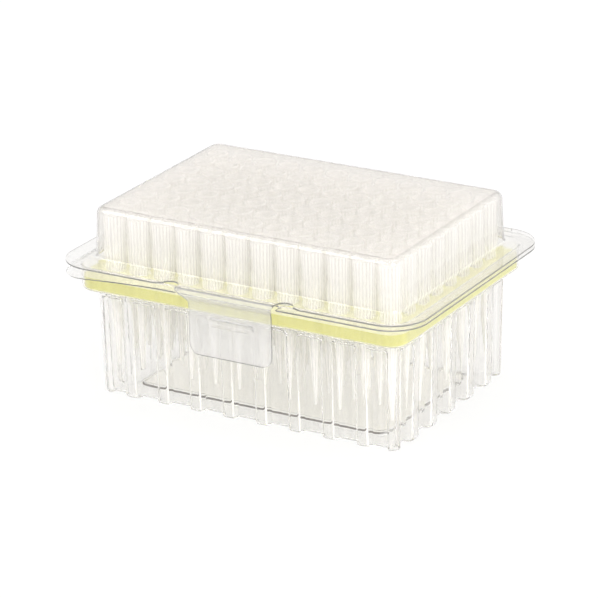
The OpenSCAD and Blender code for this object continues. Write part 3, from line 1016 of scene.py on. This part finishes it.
HUB_SHARP = 30  # degrees above which a tip's edges stay crisp
FIN_RAMP = 3 * MM  # over which the fins run out
# The painted highlight lines and the painted shade between them go on from the fins to the rim at
# this strength
LINED_ABOVE = 0.5  # strength of the lines that go on from the fins to the rim
# Painted yellow light from the deck: its reach up the hub, and its share under the deck
GLOW_REACH, GLOW_BELOW = 13 * MM, 0.45  # the deck's colour in the hub, and under the deck
# Painted highlight streaks round the body, and their strength on the hub and on the fins
BODY_HIGHLIGHTS = (0.75, 0.5, 2.4, 1.1)  # middle, size and two rates of the streaks round the body
HUB_HIGHLIGHT, FIN_HIGHLIGHT = 0.3, 0.9


def tip_sections(t):
    """Outer and inner outline of a tip, upward and then down: radius, height, fins."""
    mouth, point = TIP_HIGH.z - DECK_HIGH.z, TIP_LOW.z - DECK_HIGH.z
    mid, rim_low = point / 2, mouth - t.rim_h
    hub_r = TIP_R - t.rim_proud
    foot_r, body_r, mid_r, point_r = (d / 2 for d in (t.hub_foot, t.body, t.body_mid, t.point))
    fin_top = rim_low * t.fin_share

    def hub_at(z):
        return foot_r + (hub_r - foot_r) * z / rim_low

    outer = [(t.orifice / 2, point, 0), (point_r - 0.1 * MM, point, 0),
             (point_r, point + 0.15 * MM, 0), ((point_r + mid_r) / 2, (point + mid) / 2, 0),
             (mid_r, mid, 0), (body_r - 0.1 * MM, -0.8 * MM, 0), (body_r, -0.05 * MM, 0),
             (foot_r - 0.12 * MM, 0, 0), (foot_r, 0.15 * MM, 0.6), (hub_at(1 * MM), 1 * MM, 1),
             (hub_at(fin_top - FIN_RAMP), fin_top - FIN_RAMP, 1), (hub_at(fin_top), fin_top, 0),
             (hub_r, rim_low - 0.1 * MM, 0), (TIP_R, rim_low + 0.1 * MM, 0),
             (TIP_R, mouth - 0.15 * MM, 0), (TIP_R - 0.15 * MM, mouth, 0)]
    socket_r = hub_r - t.wall
    inner = [(socket_r + 0.12 * MM, mouth, 0), (socket_r, mouth - 0.15 * MM, 0),
             (socket_r, mouth - t.socket_h, 0), (body_r - t.wall, 0.4 * MM, 0),
             (mid_r - t.wall, mid, 0)]
    return outer, inner, fin_top, rim_low


def tip_mesh(t):
    """One tip about the Z axis, with its shoulder at height 0, and the marks of its points: painted
    highlight streaks, painted shade in the grooves and the deck's painted light.
    """
    outer, inner, fin_top, rim_low = tip_sections(t)
    sides = 2 * t.fins
    middle, size, *rates = BODY_HIGHLIGHTS
    streaks = [middle + size * math.sin(rates[0] * j) * math.cos(rates[1] * j)
               for j in range(sides)]
    rings, marks = [], {"streak": [], "near_deck": [], "groove": []}
    for i, (r, z, fin) in enumerate(outer + inner):
        lined = LINED_ABOVE if i < len(outer) and fin_top - 0.1 * MM < z < rim_low else fin
        glow = 1 - smooth(0, GLOW_REACH, z) if z > -0.1 * MM else GLOW_BELOW
        ring = []
        for j in range(sides):
            a = 2 * math.pi * j / sides
            on_fin = j % 2 == 0
            out = r + (min(t.fin_proud * fin, TIP_R - r) if on_fin else 0)
            ring.append(Vector((out * math.cos(a), out * math.sin(a), z)))
            # Painted highlight streaks on the body and the fins, painted shade in the grooves, and
            # the deck's painted light near the deck
            plain = streaks[j] if z < 0 else HUB_HIGHLIGHT
            marks["streak"].append(plain * (1 - lined) + (lined * FIN_HIGHLIGHT if on_fin else 0))
            marks["near_deck"].append(glow)
            marks["groove"].append(0 if on_fin else lined)
        rings.append(ring)
    return (*loft(rings, round_again=True), marks)


def tip_grid_tree():
    """Geometry Nodes that stand one tip at every place of the grid, each with its own turn."""
    tree = bpy.data.node_groups.new("tip_grid", "GeometryNodeTree")
    socket = tree.interface.new_socket
    socket("Geometry", in_out="INPUT", socket_type="NodeSocketGeometry")
    for label, kind in (("Tip", "Object"), ("Columns", "Int"), ("Rows", "Int"),
                        ("Size X", "Float"), ("Size Y", "Float"), ("Height", "Float"),
                        ("Lean", "Float"), ("Seed", "Int"), ("Material", "Material")):
        socket(label, in_out="INPUT", socket_type="NodeSocket" + kind)
    socket("Geometry", in_out="OUTPUT", socket_type="NodeSocketGeometry")
    inside = tree.nodes.new("NodeGroupInput").outputs
    grid = add_node(tree, "GeometryNodeMeshGrid", {
        "Size X": inside["Size X"], "Size Y": inside["Size Y"],
        "Vertices X": inside["Columns"], "Vertices Y": inside["Rows"]}).outputs["Mesh"]
    lifted = add_node(tree, "GeometryNodeSetPosition", {
        "Geometry": grid, "Offset": combined(tree, 0, 0, inside["Height"])}).outputs["Geometry"]
    lean = inside["Lean"]
    down = maths(tree, "MULTIPLY", lean, -1)
    turn = add_node(tree, "FunctionNodeRandomValue", data_type="FLOAT_VECTOR", feeds={
        "Min": combined(tree, down, down, 0), "Max": combined(tree, lean, lean, 2 * math.pi),
        "Seed": inside["Seed"]}).outputs["Value"]
    tip = add_node(tree, "GeometryNodeObjectInfo", {"Object": inside["Tip"]}).outputs["Geometry"]
    tips = add_node(tree, "GeometryNodeInstanceOnPoints", {
        "Points": lifted, "Instance": tip, "Rotation": turn}).outputs["Instances"]
    solid = add_node(tree, "GeometryNodeRealizeInstances", {"Geometry": tips}).outputs["Geometry"]
    painted = add_node(tree, "GeometryNodeSetMaterial", {
        "Geometry": solid, "Material": inside["Material"]}).outputs["Geometry"]
    add_node(tree, "NodeGroupOutput", {"Geometry": painted})
    return tree


class TIPBOX_OT_tips(bpy.types.Operator):
    """Stands a tip in every hole of the deck with Geometry Nodes"""
    bl_idname = "tipbox.tips"
    bl_label = "Build the tips"

    def execute(self, context):
        t = context.scene.tipbox_tips
        verts, faces, marks = tip_mesh(t)
        one = mesh_object("one_tip", verts, faces)
        for name, values in marks.items():
            one.data.attributes.new(name, "FLOAT", "POINT").data.foreach_set("value", values)
        set_sharp(one, HUB_SHARP)
        material = tip_material(t.colour, t.edge_shade_colour, context.scene.tipbox_deck.colour)
        host = mesh_object("tips", [(0, 0, 0)], [])
        mod = host.modifiers.new("tip_grid", "NODES")
        mod.node_group = tip_grid_tree()
        columns, rows = len(TIP_NODES), round(2 * GRID_HALF.y / TIP_PITCH) + 1
        values = {"Tip": one, "Columns": columns, "Rows": rows, "Size X": 2 * GRID_HALF.x,
                  "Size Y": 2 * GRID_HALF.y, "Height": DECK_HIGH.z, "Lean": t.lean,
                  "Seed": t.seed, "Material": material}
        for item in mod.node_group.interface.items_tree:
            if item.in_out == "INPUT" and item.name in values:
                mod[item.identifier] = values[item.name]
        host.update_tag()
        bpy.context.view_layer.update()
        apply_modifiers(host)
        bpy.data.objects.remove(one)
        host.data.materials.pop(index=0)  # the bare tip's empty slot
        if len(host.data.polygons) != columns * rows * len(faces):
            raise RuntimeError("the tip grid came out incomplete")
        place(host, "base", "tip_plastic", *TIP_NODES)
        return {"FINISHED"}


class TIPBOX_OT_deck(bpy.types.Operator):
    """Gives the deck its moulded plastic"""
    bl_idname = "tipbox.deck"
    bl_label = "Finish the deck"

    def execute(self, context):
        deck = frame["nodes"]["tip_deck"]
        deck.data.materials.clear()
        paint(deck, deck_material(context.scene.tipbox_deck.colour))
        return {"FINISHED"}


# ---------------------------------------------------------------- stage

WARM, WHITE = (1.0, 0.98, 0.955), (1, 1, 1)
# Name, place, target, size, watts and colour of each lamp
LAMPS = (
    ("key_lamp", (-0.75, -0.75, 0.95), (0, 0, 0.03), (0.8, 0.8), 5.2, WARM),
    ("fill_lamp", (1.0, -0.5, 0.6), (0, 0, 0.03), (0.7, 0.9), 7.2, WARM),
    ("top_lamp", (0.1, 0.35, 1.1), (0, 0, 0.03), (1.0, 0.8), 3.3, WARM),
    ("edge_strip", (0.25, -0.45, 0.75), (0, -0.035, 0.06), (0.9, 0.03), 1.2, WHITE),
)
AMBIENT_COLOUR = (1.0, 0.98, 0.96)
SHADE_TINT = (1, 0.96, 0.9)
FLOOR_REACH, FLOOR_DROP = 3.0, 0.2 * MM
FLOOR_COLOUR, FLOOR_GLOW = (0.93, 0.93, 0.93), 0.8
CAMERA_TARGET = Vector((-1.09, 0, 28.47)) * MM
BOUNCES = 48  # enough for light to cross every sheet and tip


def add_lamp(name, place_at, target, size, power, colour):
    lamp = bpy.data.lights.new(name, "AREA")
    lamp.shape = "RECTANGLE"
    lamp.size, lamp.size_y = size
    lamp.energy = power
    lamp.color = colour
    obj = bpy.data.objects.new(name, lamp)
    obj.location = place_at
    obj.rotation_euler = (Vector(target) - Vector(place_at)).to_track_quat("-Z", "Y").to_euler()
    bpy.context.scene.collection.objects.link(obj)
    return obj


def seen_directly(tree):
    """1 for camera, glossy and transmission rays, and 0 for light that reaches a surface."""
    path = tree.nodes.new("ShaderNodeLightPath").outputs
    outside = maths(tree, "MAXIMUM", path["Is Camera Ray"], path["Is Glossy Ray"])
    return maths(tree, "MAXIMUM", outside, path["Is Transmission Ray"])


def studio_colour(tree, shade):
    """White, and for bent rays grey overhead and in front, which the sheet's edges show."""
    around = separated(tree, coordinates(tree, "Generated"))
    overhead = ranged(tree, around["Z"], 0.2, 0.6, eased=True)
    front = ranged(tree, around["Y"], 0.1, -0.5, eased=True)
    camera = tree.nodes.new("ShaderNodeLightPath").outputs["Is Camera Ray"]
    amount = maths(tree, "MULTIPLY", maths(tree, "MAXIMUM", overhead, front),
                   maths(tree, "SUBTRACT", 1.0, camera))
    return mixed(tree, amount, WHITE, tinted(SHADE_TINT, shade))


def blended_shaders(tree, amount, first, second, output):
    """Mixes two shaders into an output node."""
    mix = add_node(tree, "ShaderNodeMixShader", {0: amount, 1: first, 2: second})
    feed(tree, output, {"Surface": mix.outputs[0]})


def set_world(scene, s):
    """White to the camera and through the sheet, and a warm soft light on every surface."""
    world = scene.world or bpy.data.worlds.new("studio")
    scene.world = world
    world.use_nodes = True
    tree = world.node_tree
    tree.nodes.clear()
    seen = add_node(tree, "ShaderNodeBackground", {"Color": studio_colour(tree, s.shade)})
    light = add_node(tree, "ShaderNodeBackground", {"Color": AMBIENT_COLOUR, "Strength": s.ambient})
    blended_shaders(tree, seen_directly(tree), light.outputs[0], seen.outputs[0],
                    tree.nodes.new("ShaderNodeOutputWorld"))


def add_floor():
    """A pale floor that glows enough to stay white, and keeps the box's shadow."""
    r, z = FLOOR_REACH, -FLOOR_DROP
    floor = mesh_object("floor", [(-r, -r, z), (r, -r, z), (r, r, z), (-r, r, z)], [(0, 1, 2, 3)])
    material, tree, shader = new_material("studio_floor")
    feed(tree, shader, {"Base Color": FLOOR_COLOUR, "Roughness": 0.9, "Specular IOR Level": 0.0})
    glow = add_node(tree, "ShaderNodeEmission", {"Strength": 1.0})
    blended_shaders(tree, maths(tree, "MULTIPLY", seen_directly(tree), FLOOR_GLOW),
                    shader.outputs[0], glow.outputs[0], tree.nodes["Material Output"])
    paint(floor, material)


def add_camera(scene, s):
    a, e = s.azimuth, s.elevation
    back = Vector((math.sin(a) * math.cos(e), -math.cos(a) * math.cos(e), math.sin(e)))
    right = Vector((math.cos(a), math.sin(a), 0))
    up = back.cross(right)
    c, d = math.cos(s.roll), math.sin(s.roll)
    right, up = c * right + d * up, c * up - d * right
    data = bpy.data.cameras.new("camera")
    data.sensor_width = 36
    data.lens = s.lens
    data.clip_start, data.clip_end = 0.05, 20
    camera = bpy.data.objects.new("camera", data)
    camera.matrix_world = (Matrix.Translation(CAMERA_TARGET + back * s.distance)
                           @ Matrix((right, up, back)).transposed().to_4x4())
    scene.collection.objects.link(camera)
    scene.camera = camera


class TIPBOX_OT_stage(bpy.types.Operator):
    """Sets the floor, the surrounding light, the lamps and the camera"""
    bl_idname = "tipbox.stage"
    bl_label = "Set the stage"

    def execute(self, context):
        scene = context.scene
        scene.view_settings.view_transform = "Standard"
        set_world(scene, scene.tipbox_stage)
        add_floor()
        for row in LAMPS:
            lamp = add_lamp(*row)
        lamp.visible_diffuse = lamp.visible_transmission = False  # the strip only lights edges
        add_camera(scene, scene.tipbox_stage)
        cycles = scene.cycles
        cycles.max_bounces = cycles.transparent_max_bounces = BOUNCES
        cycles.transmission_bounces = cycles.glossy_bounces = BOUNCES
        return {"FINISHED"}


# ---------------------------------------------------------------- panel and registration

GROUPS = {"tipbox_sheet": TIPBOX_PG_sheet, "tipbox_tab": TIPBOX_PG_tab,
          "tipbox_tips": TIPBOX_PG_tips, "tipbox_deck": TIPBOX_PG_deck,
          "tipbox_stage": TIPBOX_PG_stage}
OPERATORS = (TIPBOX_OT_tray, TIPBOX_OT_deck, TIPBOX_OT_tips, TIPBOX_OT_lid, TIPBOX_OT_tab,
             TIPBOX_OT_stage)


class TIPBOX_PT_panel(bpy.types.Panel):
    """Lists the pieces of the box"""
    bl_label = "Tip Box"
    bl_idname = "TIPBOX_PT_panel"
    bl_space_type = "VIEW_3D"
    bl_region_type = "UI"
    bl_category = "Tip Box"

    def draw(self, context):
        for operator in OPERATORS:
            self.layout.operator(operator.bl_idname)
        for group in GROUPS:
            owner = getattr(context.scene, group)
            box = self.layout.box()
            for name in owner.bl_rna.properties.keys():
                if name not in ("rna_type", "name"):
                    box.prop(owner, name)


def register():
    for cls in (*GROUPS.values(), *OPERATORS, TIPBOX_PT_panel):
        bpy.utils.register_class(cls)
    for name, cls in GROUPS.items():
        setattr(bpy.types.Scene, name, bpy.props.PointerProperty(type=cls))


def unregister():
    for name in GROUPS:
        delattr(bpy.types.Scene, name)
    for cls in reversed((*GROUPS.values(), *OPERATORS, TIPBOX_PT_panel)):
        bpy.utils.unregister_class(cls)


def main():
    register()
    bpy.ops.tipbox.tray()
    bpy.ops.tipbox.deck()
    bpy.ops.tipbox.tips()
    bpy.ops.tipbox.lid()
    bpy.ops.tipbox.tab()
    bpy.ops.tipbox.stage()


if __name__ == "__main__":
    main()
